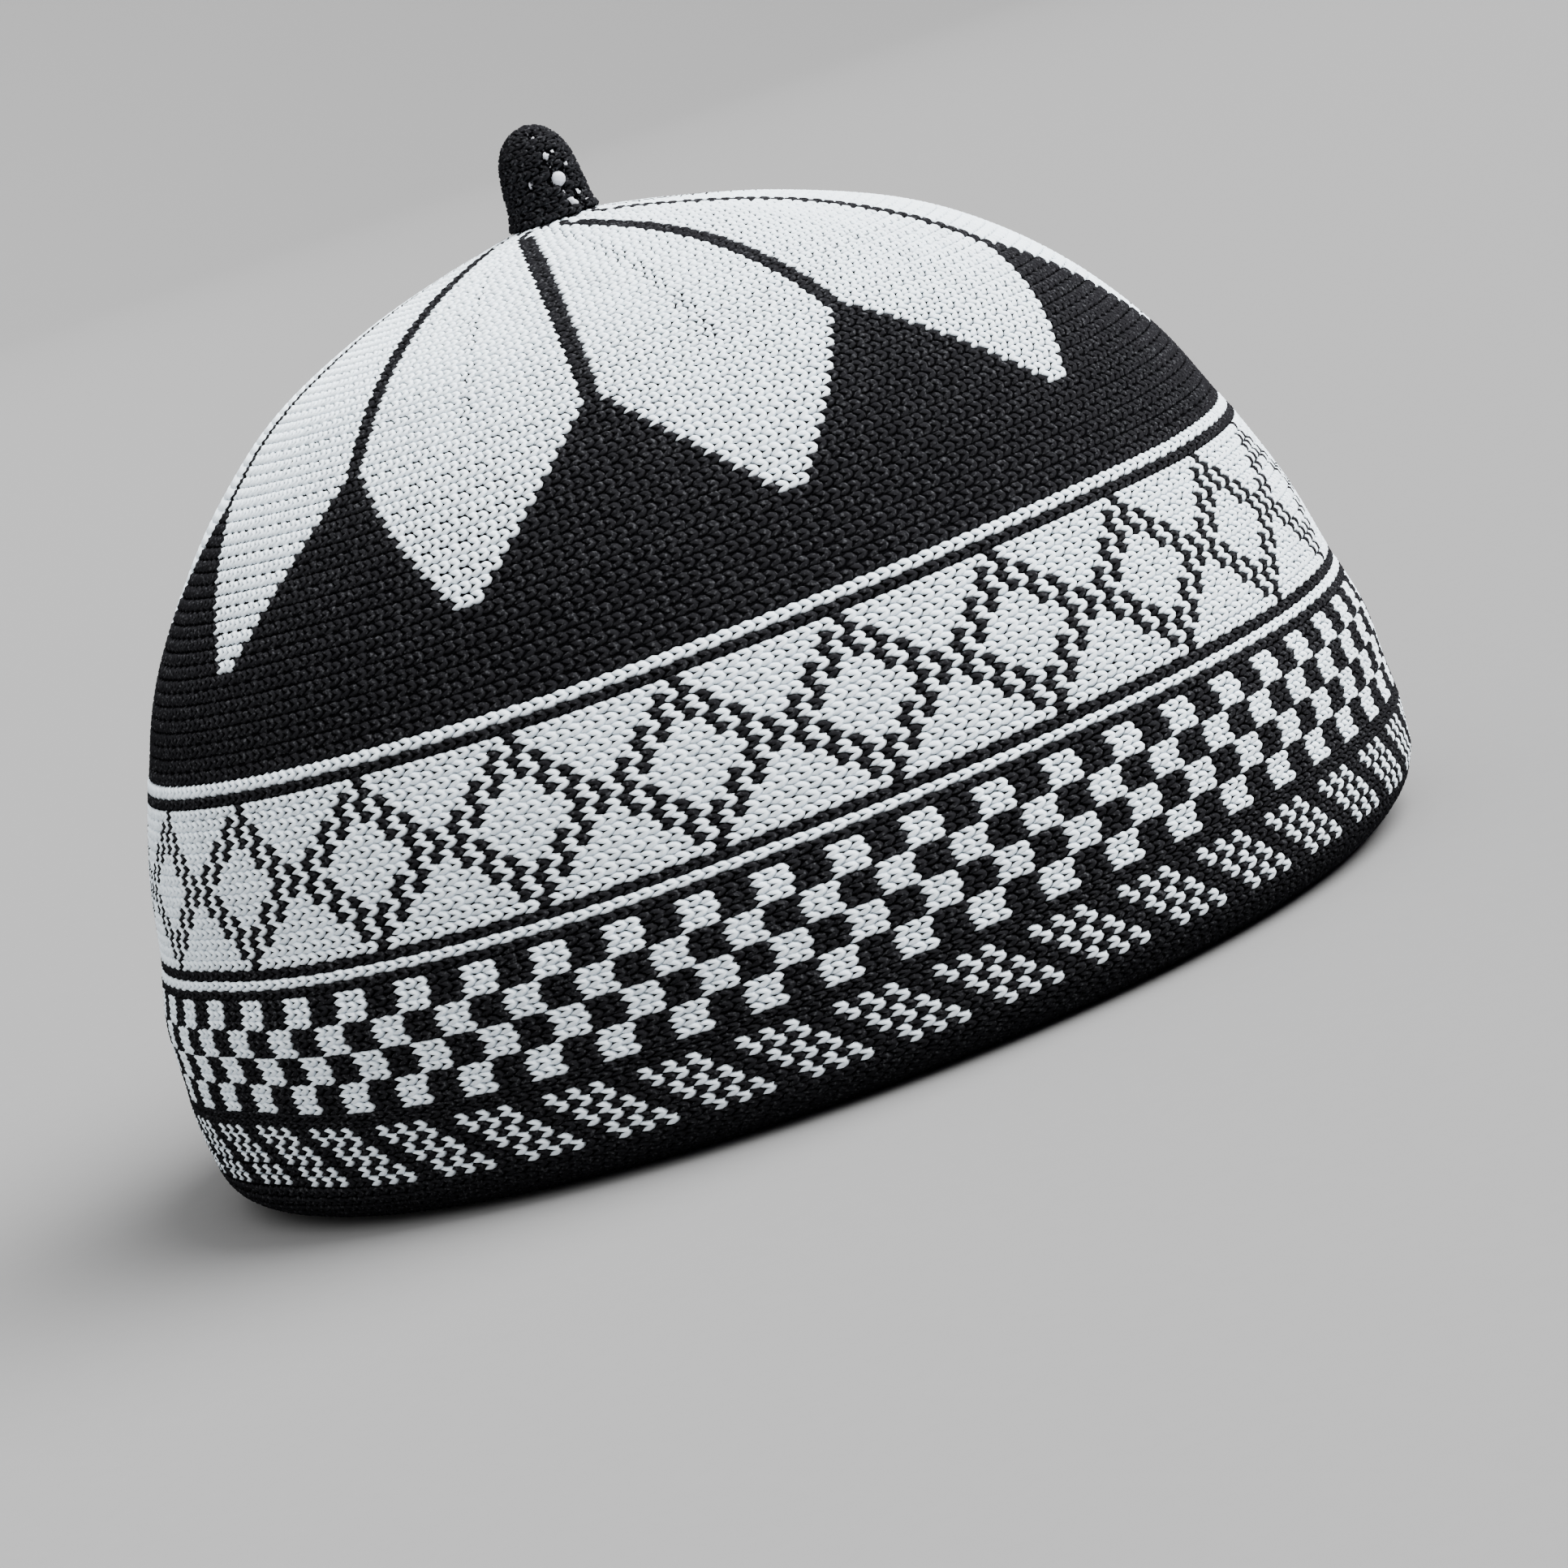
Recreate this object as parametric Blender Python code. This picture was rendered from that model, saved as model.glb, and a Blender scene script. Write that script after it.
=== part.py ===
"""A knitted dome cap (kufi) with a small covered stem on its crown.

The cap is one continuous knitted wall: a hem that curls in under its lower edge,
nearly upright sides, and a round crown. The stem is a knitted cover with open
gaps, drawn over a soft filling. The cap rests on the flat ring of its curled hem.
Metres, +Z up, origin in the middle of the resting ring. The plan is a slight oval
whose long way runs along Y, as the cap sits on a head that faces -Y.
"""

import math

import bpy

MM = 0.001

# Cap wall, millimetres
WALL = 2.0
OVALITY = 0.039
ROUND_FROM = 70.0
ROUND_BY = 100.0
CROWN_LEAN = (-0.5, -1.1)
SEGMENTS = 48
RING_STEP = 7.0
RIM_WIDTH = 2.2

# Outer outline of the cap, from the resting ring to the middle of the crown
SECTION_COLUMNS = ("section", "height", "radius")
OUTLINE = (
    ("resting ring", 0.0, 84.4),
    ("curl", 2.2, 88.6),
    ("hem", 6.2, 91.4),
    ("slanted strokes", 14.6, 92.5),
    ("foot of the checks", 21.0, 92.4),
    ("middle of the checks", 29.0, 92.2),
    ("top of the checks", 36.0, 90.7),
    ("foot of the diamonds", 39.2, 89.8),
    ("middle of the diamonds", 51.0, 87.4),
    ("top of the diamonds", 62.6, 83.6),
    ("line under the crown", 65.6, 82.4),
    ("crown side", 79.0, 76.9),
    ("crown shoulder", 91.0, 69.4),
    ("petals at their widest", 100.4, 60.3),
    ("crown slope", 109.0, 48.0),
    ("upper crown", 115.8, 32.0),
    ("crown top", 119.9, 17.5),
    ("foot of the stem", 122.0, 6.5),
    ("middle of the crown", 122.4, 0.0),
)

CROWN_TOP = OUTLINE[-1][1]

# Stem, millimetres
GAP = 0.3
STEM_WALL = 1.1
STEM_SEGMENTS = 20
STEM_STEP = 2.4
STEM_SIDE_FROM = 0.5
STEM = (
    ("flared foot", 0.0, 7.1),
    ("lower side", 2.0, 6.5),
    ("side", 6.0, 6.1),
    ("shoulder", 9.6, 5.4),
    ("rounding", 12.0, 4.1),
    ("near the tip", 13.6, 2.2),
    ("tip", 14.2, 0.0),
)

# Open gaps in the stem's cover: bearing in degrees from -Y towards +X, millimetres, and a tilt
GAP_COLUMNS = ("bearing", "height", "width", "tall", "tilt")
STEM_GAPS = (
    (91.0, 5.3, 2.7, 2.5, -35.0),
    (99.0, 1.6, 2.4, 1.2, -35.0),
    (85.0, 9.1, 1.15, 1.4, 0.0),
    (45.5, 5.7, 1.0, 1.1, 0.0),
    (117.0, 2.9, 1.4, 1.0, -30.0),
    (114.0, 7.0, 1.0, 1.15, 0.0),
    (250.0, 5.4, 1.8, 1.8, 20.0),
    (300.0, 8.0, 1.2, 1.3, 0.0),
)
CUTTER_SIDES = 8
CUTTER_REACH = (0.45, 1.4)

# Colours and finishes of the yarns
WHITE_YARN = (0.72, 0.73, 0.74, 1.0)
BLACK_YARN = (0.012, 0.012, 0.015, 1.0)
FILLING_WHITE = (0.76, 0.76, 0.78, 1.0)
YARN_ROUGHNESS = 0.85

SHARP_ANGLE = 50.0
ON_AXIS = 1e-6


def clear_scene():
    """Remove what a new file holds."""
    for thing in list(bpy.data.objects):
        bpy.data.objects.remove(thing, do_unlink=True)


def yarn_material(name, colour):
    """A dull fabric finish of one colour."""
    material = bpy.data.materials.new(name)
    material.use_nodes = True
    shader = material.node_tree.nodes["Principled BSDF"]
    shader.inputs["Base Color"].default_value = colour
    shader.inputs["Roughness"].default_value = YARN_ROUGHNESS
    shader.inputs["Metallic"].default_value = 0.0
    material.diffuse_color = colour
    return material


def curve_through(points, step):
    """Points on a smooth curve through (radius, height) pairs, about a step apart."""
    curve = [points[0]]
    last = len(points) - 1
    for index in range(last):
        before = points[max(index - 1, 0)]
        start = points[index]
        end = points[index + 1]
        after = points[min(index + 2, last)]
        parts = max(1, round(math.dist(start, end) / step))
        for part in range(1, parts + 1):
            t = part / parts
            curve.append(tuple(
                0.5 * (2 * b + (c - a) * t + (2 * a - 5 * b + 4 * c - d) * t * t
                       + (3 * b - a - 3 * c + d) * t ** 3)
                for a, b, c, d in zip(before, start, end, after)))
    return curve


def inward(points, thickness):
    """The same curve moved inwards by a wall's thickness, still ending on the axis."""
    moved = []
    for index, (radius, height) in enumerate(points):
        before = points[max(index - 1, 0)]
        after = points[min(index + 1, len(points) - 1)]
        along = (after[0] - before[0], after[1] - before[1])
        length = math.hypot(*along)
        moved.append((radius - thickness * along[1] / length, height + thickness * along[0] / length))
    moved[-1] = (0.0, points[-1][1] - thickness)
    return moved


def soft_share(value, start, end):
    """0 before the start, 1 after the end, and a soft step between."""
    t = min(max((value - start) / (end - start), 0.0), 1.0)
    return t * t * (3 - 2 * t)


def ovality_at(height):
    """How far the plan is drawn out along Y: full at the sides, none on the crown."""
    return OVALITY * (1 - soft_share(height, ROUND_FROM, ROUND_BY))


def lean_at(height):
    """How far the crown has slipped to one side: none at its edge, full at the stem."""
    share = soft_share(height, ROUND_BY, CROWN_TOP)
    return CROWN_LEAN[0] * share, CROWN_LEAN[1] * share


def ring(radius, height, count, ovality):
    """One ring of points, in metres, from the front round to the right."""
    points = []
    aside, ahead = lean_at(height)
    for index in range(count):
        turn = 2 * math.pi * index / count
        bearing = turn - 0.5 * ovality * math.sin(2 * turn)
        reach = radius * (1 + ovality * math.cos(2 * turn))
        x = reach * math.sin(bearing) + aside
        y = -reach * math.cos(bearing) + ahead
        points.append((x * MM, y * MM, height * MM))
    return points


def turned_body(name, outline, count, material, oval=False, lift=0.0):
    """A closed body from an outline of (radius, height) pairs that starts and ends on the axis
    or joins up with itself; a pair on the axis becomes one point."""
    vertices = []
    rings = []
    for radius, height in outline:
        if radius < ON_AXIS:
            rings.append([len(vertices)])
            vertices.append(ring(0.0, height + lift, 1, 0.0)[0])
            continue
        ovality = ovality_at(height) if oval else 0.0
        rings.append(list(range(len(vertices), len(vertices) + count)))
        vertices.extend(ring(radius, height + lift, count, ovality))
    faces = []
    for lower, upper in zip(rings, rings[1:]):
        for index in range(count):
            following = (index + 1) % count
            if len(lower) == 1:
                faces.append((lower[0], upper[following], upper[index]))
            elif len(upper) == 1:
                faces.append((lower[index], lower[following], upper[0]))
            else:
                faces.append((lower[index], lower[following], upper[following], upper[index]))
    mesh = bpy.data.meshes.new(name)
    mesh.from_pydata(vertices, [], faces)
    mesh.materials.append(material)
    mesh.shade_smooth()
    mesh.set_sharp_from_angle(angle=math.radians(SHARP_ANGLE))
    body = bpy.data.objects.new(name, mesh)
    bpy.context.scene.collection.objects.link(body)
    return body


def outline_of(table):
    """A table's (radius, height) pairs."""
    sections = [dict(zip(SECTION_COLUMNS, row)) for row in table]
    return [(section["radius"], section["height"]) for section in sections]


def cap_wall(material):
    """The knitted wall of the cap: inner side, resting ring and outer side."""
    outer = curve_through(outline_of(OUTLINE), RING_STEP)
    inner = inward(outer, WALL)
    rim_radius = outer[0][0] - RIM_WIDTH
    inner = [point for point in inner if point[1] > WALL]
    inner.insert(0, (rim_radius, 0.0))
    return turned_body("cap_wall", inner[::-1] + outer, SEGMENTS, material, oval=True)


def crown_height(radius):
    """Height of the crown's outer side at a small radius."""
    (wide, low), (_, high) = outline_of(OUTLINE[-2:])
    return high - (high - low) * min(radius / wide, 1.0)


def stem_cover(material):
    """The knitted cover of the stem, open below, with its gaps cut through."""
    outer = curve_through(outline_of(STEM), STEM_STEP)
    inner = inward(outer, STEM_WALL)
    inner = [point for point in inner if point[1] > STEM_SIDE_FROM]
    inner.insert(0, (outer[0][0] - STEM_WALL, 0.0))
    foot = crown_height(inner[0][0]) + GAP
    cover = turned_body("stem_cover", inner[::-1] + outer, STEM_SEGMENTS, material, lift=foot)
    for number, gap in enumerate(STEM_GAPS):
        cutter = gap_cutter(f"gap_cutter_{number}", dict(zip(GAP_COLUMNS, gap)), foot)
        cut = cover.modifiers.new(cutter.name, "BOOLEAN")
        cut.operation = "DIFFERENCE"
        cut.solver = "EXACT"
        cut.object = cutter
    return cover


def gap_cutter(name, gap, foot):
    """An eight-sided rod that passes through one side of the stem's cover."""
    turn = math.radians(gap["bearing"])
    tilt = math.radians(gap["tilt"])
    aside, ahead = lean_at(foot)
    vertices = []
    for share in CUTTER_REACH:
        reach = share * outline_of(STEM)[0][0]
        for side in range(CUTTER_SIDES):
            angle = 2 * math.pi * side / CUTTER_SIDES
            wide = 0.5 * gap["width"] * math.cos(angle)
            tall = 0.5 * gap["tall"] * math.sin(angle)
            shift = wide * math.cos(tilt) - tall * math.sin(tilt)
            rise = wide * math.sin(tilt) + tall * math.cos(tilt)
            x = reach * math.sin(turn) + shift * math.cos(turn) + aside
            y = -reach * math.cos(turn) + shift * math.sin(turn) + ahead
            vertices.append((x * MM, y * MM, (foot + gap["height"] + rise) * MM))
    faces = [tuple(range(CUTTER_SIDES - 1, -1, -1)), tuple(range(CUTTER_SIDES, 2 * CUTTER_SIDES))]
    for side in range(CUTTER_SIDES):
        following = (side + 1) % CUTTER_SIDES
        faces.append((side, following, CUTTER_SIDES + following, CUTTER_SIDES + side))
    mesh = bpy.data.meshes.new(name)
    mesh.from_pydata(vertices, [], faces)
    cutter = bpy.data.objects.new(name, mesh)
    bpy.context.scene.collection.objects.link(cutter)
    cutter.hide_render = True
    cutter.display_type = "WIRE"
    return cutter


def stem_filling(material):
    """The soft filling inside the stem's cover."""
    inner = inward(curve_through(outline_of(STEM), STEM_STEP), STEM_WALL + GAP)
    side = [point for point in inner if point[1] > STEM_SIDE_FROM]
    outline = [(0.0, 0.0), (inner[0][0], 0.0)] + side
    foot = crown_height(0.0) + GAP
    low = crown_height(outline_of(STEM)[0][0] - STEM_WALL) + GAP
    sunk = [(radius, max(height + low - foot, 0.0)) for radius, height in outline]
    return turned_body("stem_filling", sunk, STEM_SEGMENTS, material, lift=foot)


def main():
    """Build the cap, the stem's filling and its cover."""
    clear_scene()
    white = yarn_material("white_yarn", WHITE_YARN)
    black = yarn_material("black_yarn", BLACK_YARN)
    filling = yarn_material("stem_filling_white", FILLING_WHITE)
    cap_wall(white)
    stem_filling(filling)
    stem_cover(black)


main()
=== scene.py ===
# %% [markdown]
# # A kufi in black and white colourwork
#
# The real cap is one piece of fabric, worked round and round with a white and a black yarn.
# Every stitch is a small loop that lies on its side, and the pattern is nothing but the choice
# of yarn for each stitch. So this script builds it the same way: it finds where every stitch
# sits on the cap, asks a chart for its colour, and sets a loop of yarn there.

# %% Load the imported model
import math

import bmesh
import bpy
import numpy as np
from mathutils import Matrix


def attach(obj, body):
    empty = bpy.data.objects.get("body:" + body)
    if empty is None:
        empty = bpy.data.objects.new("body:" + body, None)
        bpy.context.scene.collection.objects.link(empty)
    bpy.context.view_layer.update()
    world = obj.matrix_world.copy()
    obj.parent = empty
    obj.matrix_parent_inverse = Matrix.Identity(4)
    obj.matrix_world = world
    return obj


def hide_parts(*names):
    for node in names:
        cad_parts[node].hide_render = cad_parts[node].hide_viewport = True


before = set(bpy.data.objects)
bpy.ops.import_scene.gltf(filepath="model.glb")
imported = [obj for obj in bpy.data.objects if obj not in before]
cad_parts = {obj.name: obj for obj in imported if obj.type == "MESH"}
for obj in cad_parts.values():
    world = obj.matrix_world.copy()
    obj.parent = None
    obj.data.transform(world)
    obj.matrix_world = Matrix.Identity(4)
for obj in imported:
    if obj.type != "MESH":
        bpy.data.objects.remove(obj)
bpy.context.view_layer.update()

MM = 0.001

# %% [markdown]
# ## The shape of the cap
#
# A cap that keeps its shape is easiest to describe by its side view: a short table of heights
# and radii, joined by a smooth curve and turned round the middle. The plan isn't quite a
# circle, because a head isn't, so each ring is drawn out a little along Y. The distance along
# that curve, from the hem to the middle of the crown, is what the rows of stitches count along.

# %% The side view as a smooth curve
OUTLINE = (  # height and radius in millimetres
    (0.0, 84.4), (2.2, 88.6), (6.2, 91.4), (14.6, 92.5), (21.0, 92.4), (29.0, 92.2), (36.0, 90.7),
    (39.2, 89.8), (51.0, 87.4), (62.6, 83.6), (65.6, 82.4), (79.0, 76.9), (91.0, 69.4),
    (100.4, 60.3), (109.0, 48.0), (115.8, 32.0), (119.9, 17.5), (122.0, 6.5), (122.4, 0.0))


def smooth_curve(points, parts):
    """A smooth curve through the points, each span cut into that many parts."""
    p = np.array(points, float)
    p = np.vstack([p[:1], p, p[-1:]])
    t = np.linspace(0, 1, parts, endpoint=False)[:, None]
    spans = []
    for a, b, c, d in zip(p, p[1:], p[2:], p[3:]):
        spans.append(0.5 * (2 * b + (c - a) * t + (2 * a - 5 * b + 4 * c - d) * t ** 2
                            + (3 * b - a - 3 * c + d) * t ** 3))
    return np.vstack(spans + [p[-1:]])


def distances(view):
    """How far each point of a side view lies along it."""
    return np.concatenate([[0.0], np.cumsum(np.hypot(*np.diff(view, axis=0).T))])


side_view = smooth_curve(OUTLINE, parts=24)
along_side = distances(side_view)
print(f"from the hem to the middle of the crown: {along_side[-1]:.1f} mm")

# %% [markdown]
# ## Soft fabric is never quite even
#
# A cap that has been handled is pushed in a little here and stands out a little there. The
# table below holds those small pushes, a millimetre at most, for a few bearings and
# distances. Everything that is built later looks its own push up in it, so the stitches and
# the fabric behind them move together.

# %% The small unevenness of soft fabric
SOFT_BEARINGS = (20, 65, 110, 150, 200, 335)
PUSHED_OUT = (  # distance up the side, then millimetres outward at each of those bearings
    (6, (0,) * 6), (12, (-0.3, 0, -0.1, 0.9, 0, -0.4)),
    (27, (-0.2, 0, 0, 0.4, 0, -0.7)), (44, (-0.2, 0, 0, 0.3, 0, -0.9)),
    (76, (-0.2, 0, 0, -0.4, 0, -0.7)), (98, (-0.3, 0, 0, -0.1, 0, -1.0)),
    (121, (-0.1, 0, 0, 0, 0, -0.4)), (165, (0, 0, 0, -0.3, 0, -0.4)), (175, (0,) * 6))


def from_table(table, bearings, bearing, distance):
    """Millimetres at places on the cap, in even steps between the entries of a table."""
    at = np.degrees(bearing)
    levels = np.array([np.interp(at, bearings, row, period=360) for _, row in table])
    steps = np.array([level for level, _ in table], float)
    place = np.interp(distance, steps, np.arange(len(steps))) + np.zeros_like(at)
    lower = np.minimum(place.astype(int), len(steps) - 2)
    below, above = (np.take_along_axis(levels, level[None], 0)[0] for level in (lower, lower + 1))
    return below + (above - below) * (place - lower)


print("pushed outward at 335 degrees, 98 mm up the side:",
      from_table(PUSHED_OUT, SOFT_BEARINGS, np.radians([335.0]), np.array([98.0])), "mm")

# %% [markdown]
# ## Finding a place on the cap
#
# Two numbers name a place: its bearing round the cap, and its distance from the hem up the
# side. One function turns them into a point, and another gives the two directions that a
# stitch needs: along the row and outward. With these two, the rest of the cap can be thought
# of as a flat chart.

# %% A place on the cap, from its bearing and its distance along the side
OVALITY = 0.039
ROUND_FROM, ROUND_BY = 70.0, 100.0  # heights between which the oval turns into a circle
CROWN_LEAN = (-0.5, -1.1)  # how far the crown leans along X and Y


def share_between(value, start, end):
    """0 before start, 1 after end, and a soft step between."""
    t = np.clip((value - start) / (end - start), 0, 1)
    return t * t * (3 - 2 * t)


def beside(view, along, distance, out):
    """Height and radius at a distance along a side view, moved straight out from it."""
    height, radius = (np.interp(distance, along, view[:, k]) for k in (0, 1))
    dh, dr = (np.interp(distance, along, np.gradient(view[:, k], along)) for k in (0, 1))
    size = np.hypot(dh, dr)
    return height - out * dr / size, radius + out * dh / size


def on_cap(bearing, distance, out=0.0):
    """Points on the cap in millimetres. Bearing is in radians from -Y towards +X."""
    out = out + from_table(PUSHED_OUT, SOFT_BEARINGS, bearing, distance)
    level = np.interp(distance, along_side, side_view[:, 0])
    ovality = OVALITY * (1 - share_between(level, ROUND_FROM, ROUND_BY))
    lean = share_between(level, ROUND_BY, side_view[-1, 0])
    height, radius = beside(side_view, along_side, distance, out)
    turn = bearing - 0.5 * ovality * np.sin(2 * bearing)
    reach = radius * (1 + ovality * np.cos(2 * bearing))
    return np.stack([reach * np.sin(turn) + lean * CROWN_LEAN[0],
                     -reach * np.cos(turn) + lean * CROWN_LEAN[1], height], axis=-1)


def unit(v):
    """Vectors of length one."""
    return v / np.maximum(np.linalg.norm(v, axis=-1, keepdims=True), 1e-12)


def directions(on, bearing, distance, step=0.05, turn=1e-3):
    """Along the row and outward, from the points a small step away on each side."""
    along = unit(on(bearing + turn, distance) - on(bearing - turn, distance))
    up = unit(on(bearing, distance + step) - on(bearing, distance - step))
    return along, unit(np.cross(along, up))


print("round the widest ring:", round(float(np.linalg.norm(np.diff(on_cap(
    np.linspace(0, math.tau, 721), np.full(721, 20.0)), axis=0), axis=1).sum())), "mm")

# %% [markdown]
# ## The chart
#
# Colourwork is planned on squared paper, one square for each stitch. Four motifs make this
# cap. Each one is written below the way that a maker would note it: which columns of the
# repeat are worked in black or white on each row, counted from the top row of the motif.

# %% Diamonds, checks, slanted strokes and petals
DIAMOND_TOP = ((7,), (5, 7), (5, 7, 9), (3, 5, 7, 9), (3, 5, 9, 11), (1, 3, 9, 11),
               (1, 3, 11, 13), (1, 11, 13))
DIAMOND_BLACK = DIAMOND_TOP + DIAMOND_TOP[-2::-1]  # the lower half mirrors the upper
STROKE_WHITE_ROWS = {0: (1, 2, 5, 6), 2: (1, 2, 3, 4), 4: (1, 2, 3, 4, 5, 6), 6: (3, 4, 5, 6)}
GORES = 10
SEAM_STITCHES = 2


def plain_white(row, rows, column, count):
    """White all along the row."""
    return np.ones_like(column, bool)


def plain_black(row, rows, column, count):
    """Black all along the row."""
    return np.zeros_like(column, bool)


def diamonds(row, rows, column, count):
    """Black outlines of diamonds on white, 14 stitches wide."""
    return ~np.isin(column % 14, DIAMOND_BLACK[row - 1])


def checks(row, rows, column, count):
    """Blocks of three stitches by three rows, each row of blocks moved on by three."""
    return (column + 3 * ((row - 1) // 3 % 2)) % 6 < 3


def strokes(row, rows, column, count):
    """Slanted rows of upright strokes, white on black, eight stitches to a repeat."""
    white = [c for c, lit in STROKE_WHITE_ROWS.items() if row in lit]
    return np.isin(column % 8, white)


def petal_points(row, rows, column, count):
    """White points that grow by a stitch on each side with every row up."""
    gore = count // GORES
    level = rows + 1 - row
    from_middle = np.abs((column + gore // 2) % gore - gore // 2)
    return from_middle <= level


def petals(row, rows, column, count):
    """White petals with a narrow black seam between each two."""
    gore = count // GORES
    seam = SEAM_STITCHES if gore > 5 else 1
    first = (gore - seam + 1) // 2
    return ~np.isin(column % gore, [(first + k) % gore for k in range(seam)])


# %% [markdown]
# ## The zones, from the hem up
#
# The rows are grouped in zones. Each zone has its number of rows, where it starts and ends
# along the side in millimetres, how many stitches go round, and the bearing of its first
# column in degrees. The drift moves each row on a little from the one above. The sway sets
# the stitches of every second row out of line, as a share of a stitch, which gives the zigzag
# edges.

# %% The table of zones
ZONE_COLUMNS = ("name", "rows", "start", "end", "round", "chart", "first_column", "drift", "sway")
ZONES = (
    ("hem", 6, 0.1, 9.3, 328, plain_black, 61.2, 0.0, 0.3),
    ("strokes", 6, 9.3, 18.4, 328, strokes, 61.2 - 4 * 360 / 328, 0.0, 0.36),
    ("dark_rows", 2, 18.4, 20.6, 324, plain_black, 63.0, 0.0, 0.2),
    ("checks", 12, 20.6, 38.8, 324, checks, 62.13, -0.04, 0.12),
    ("lower_dark_line", 1, 38.8, 40.27, 308, plain_black, 61.0, 0.0, 0.2),
    ("lower_light_line", 1, 40.27, 41.73, 308, plain_white, 61.0, 0.0, 0.2),
    ("band_foot", 1, 41.73, 43.2, 308, plain_black, 61.0, 0.0, 0.2),
    ("diamonds", 15, 43.2, 67.5, 308, diamonds, 61.07 - 7 * 360 / 308, -0.052, 0.27),
    ("band_top", 1, 67.5, 69.1, 308, plain_black, 61.0, 0.0, 0.2),
    ("upper_light_line", 1, 69.1, 70.9, 308, plain_white, 61.0, 0.0, 0.2),
    ("crown_rows", 8, 70.9, 85.6, 310, plain_black, 78.45, 0.0, 0.08),
    ("petal_points", 14, 85.6, 112.0, 310, petal_points, 78.45, 0.0, 0.08),
    ("petals", 33, 112.0, 173.6, None, petals, 78.2, 0.0, 0.08),
)
UPPER_STITCH = 1.27  # millimetres


def ring_radius(distance):
    """The radius of the cap at a distance up its side, in millimetres."""
    return float(np.interp(distance, along_side, side_view[:, 1]))


def stitches_round(zone, distance):
    """How many stitches go round; on the petals as many as fit, the same for each gore."""
    if zone["round"]:
        return zone["round"]
    radius = ring_radius(distance)
    return GORES * max(3, round(math.tau * radius / (GORES * UPPER_STITCH)))


zones = [dict(zip(ZONE_COLUMNS, row)) for row in ZONES]
for zone in zones:
    zone["tall"] = (zone["end"] - zone["start"]) / zone["rows"]
print("rows in all:", sum(zone["rows"] for zone in zones))

# %% [markdown]
# ## Where each stitch sits
#
# For every row this works out the bearing of each stitch, moves every second row on by its
# sway, and lets neighbours sit a hair higher and lower in turn, as they do on the real cap.
# The rows also climb a little to one side, and the seams of the crown swirl as they near
# the stem.
#
# Soft fabric is pulled out of line as it is handled, by a millimetre here and three there.
# Two small tables hold these pulls, along the rows and up the side, at bearings fifteen
# degrees apart on the side that is seen. Between the entries they change in even steps.

# %% How handling has pulled the rows and columns
FACING = 63.8  # the bearing that faces the camera, in degrees
PULL_BEARINGS = tuple(FACING + 15 * k for k in range(-4, 5))
PULLED_ALONG = (  # distance up the side, then millimetres at each of those bearings
    (14, (3.2, 2.1, 1.4, 1.1, 0.65, 0.95, 1.9, 2.8, 2.8)),
    (24, (3.0, 2.15, 1.65, 1.4, 0.75, 0.95, 1.75, 2.1, 1.1)),
    (36, (-0.5, 0.0, 0.65, 0.8, 0.65, 1.2, 2.35, 2.7, 1.65)),
    (47, (0.8, 1.1, 1.65, 1.05, 0.6, 0.4, 0.85, 1.0, 0.0)),
    (63, (-0.5, -0.1, 0.6, 0.35, 0.1, 0.15, 0.9, 1.2, 0.6)),
    (90, (3.3, 1.5, 0.5, 0.6, 0.4, 0.0, -0.05, 0.4, 0.6)),
    (106, (3.3, 1.5, 0.5, 0.6, 0.4, 0.0, -0.05, 0.4, 0.6)),
    (118, (0.8, 0.85, 0.9, 0.5, 0.67, 0.77, 0.6, 0.6, 0.5)),
    (128, (0.5, 0.6, 0.67, 0.5, 0.66, 0.7, 0.9, 1.1, 0.4)),
    (140, (0.7, 0.0, 0.15, 0.5, 1.1, 1.6, 2.05, 3.0, 2.6)),
    (152, (-0.1, 0.15, 0.45, 0.8, 1.3, 1.55, 1.95, 1.8, 1.4)),
    (174, (0.5,) * 9))
PULLED_UP = (
    (0, (0,) * 9),
    (14, (3.0, 1.0, -0.1, -0.33, -0.2, -0.12, 0.05, -0.35, -0.1)),
    (24, (2.6, 0.8, -0.25, -0.33, -0.1, -0.17, -0.23, -0.5, -0.35)),
    (36, (1.2, 0.0, -0.6, -0.78, -0.4, -0.3, -0.43, -0.6, -0.7)),
    (47, (0.5, -0.15, -0.45, -0.5, -0.3, -0.15, -0.1, -0.2, -0.55)),
    (66, (-0.2, -0.45, -0.5, -0.7, -0.33, -0.25, -0.15, -0.3, -0.8)),
    (90, (0, 0, -0.3, -0.1, 0.2, 0.45, 0.35, 0.2, -0.4)),
    (106, (0, -0.4, -0.15, 0, 0, 0.4, 0.55, 0.5, 0)),
    (122, (0,) * 9))
print("pulled up at the middle, 47 mm up the side:",
      from_table(PULLED_UP, PULL_BEARINGS, np.radians([FACING]), np.array([47.0])), "mm")

# %% Lay out all the stitches
HILL = ((0, 0.0), (12, 0.3), (25, 0.65), (43, 0.7), (67, 1.2), (85, 1.0), (112, 0.5), (140, 0.0))
SWIRL, SWIRL_REACH, STEEPEST = 4.9, 46.4, 0.95
HUMP, UNEVEN = 0.05, 0.05  # shares of a row
SEAM_SPREAD, DECREASE = 1.2, 0.7  # shares of a stitch's width


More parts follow.
